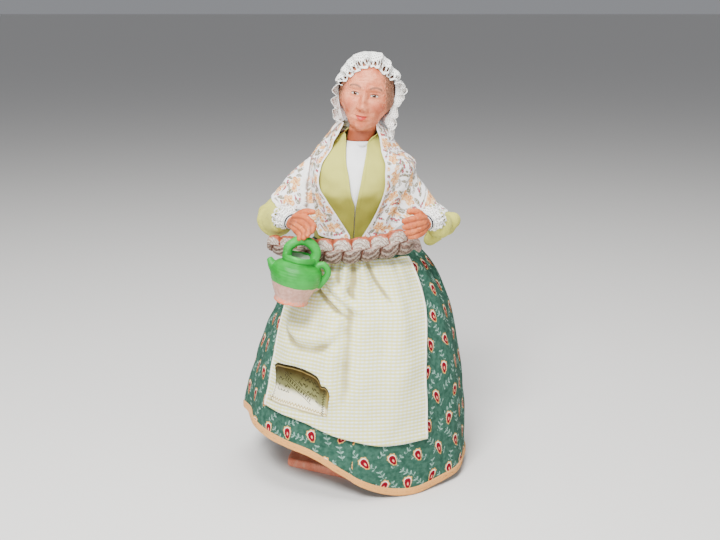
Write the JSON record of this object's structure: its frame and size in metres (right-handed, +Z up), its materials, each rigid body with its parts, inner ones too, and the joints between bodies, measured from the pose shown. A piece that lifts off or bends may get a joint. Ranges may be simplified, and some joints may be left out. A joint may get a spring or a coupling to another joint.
{
  "type": "santon figure",
  "caption": "Standing dressed terracotta figure of an old woman in shawl, apron and wide printed skirt, holding a braid of garlic and a green jug.",
  "frame": {"origin": "on the underside of the base slab, straight below the middle of the figure's waist", "axes": "+Z up along the figure, -Y the way she faces, +X to the viewer's right"},
  "size_m": [0.1654, 0.1553, 0.2978],
  "materials": {
    "terracotta": "matt unglazed",
    "painted_terracotta": "matt paint",
    "garlic_paint": "satin paint",
    "green_glaze": "satin",
    "white_cotton": "plain weave",
    "olive_cloth": "plain weave",
    "lace": "cotton lace",
    "shawl_print": "printed cotton",
    "apron_check": "fine woven check",
    "skirt_print": "printed cotton",
    "peach_binding": "felted tape",
    "wire": "dull dark",
    "gold_foil": "embossed gold foil"
  },
  "bodies": {
    "root": {"base_with_lower_body": "terracotta", "blouse": "white_cotton", "jacket": "olive_cloth", "sleeve_left": "olive_cloth", "sleeve_right": "olive_cloth", "cuff_left": "lace", "cuff_right": "lace", "hand_left": "painted_terracotta", "hand_right": "painted_terracotta", "wrist_wire_left": "wire", "wrist_wire_right": "wire", "head": "painted_terracotta", "bonnet": "white_cotton", "lace_ruffle": "lace", "shawl": "shawl_print", "garlic_braid": "garlic_paint", "jug": "green_glaze", "apron": "apron_check", "skirt": "skirt_print", "hem_binding": "peach_binding", "gold_label": "gold_foil"}
  },
  "joints": []
}
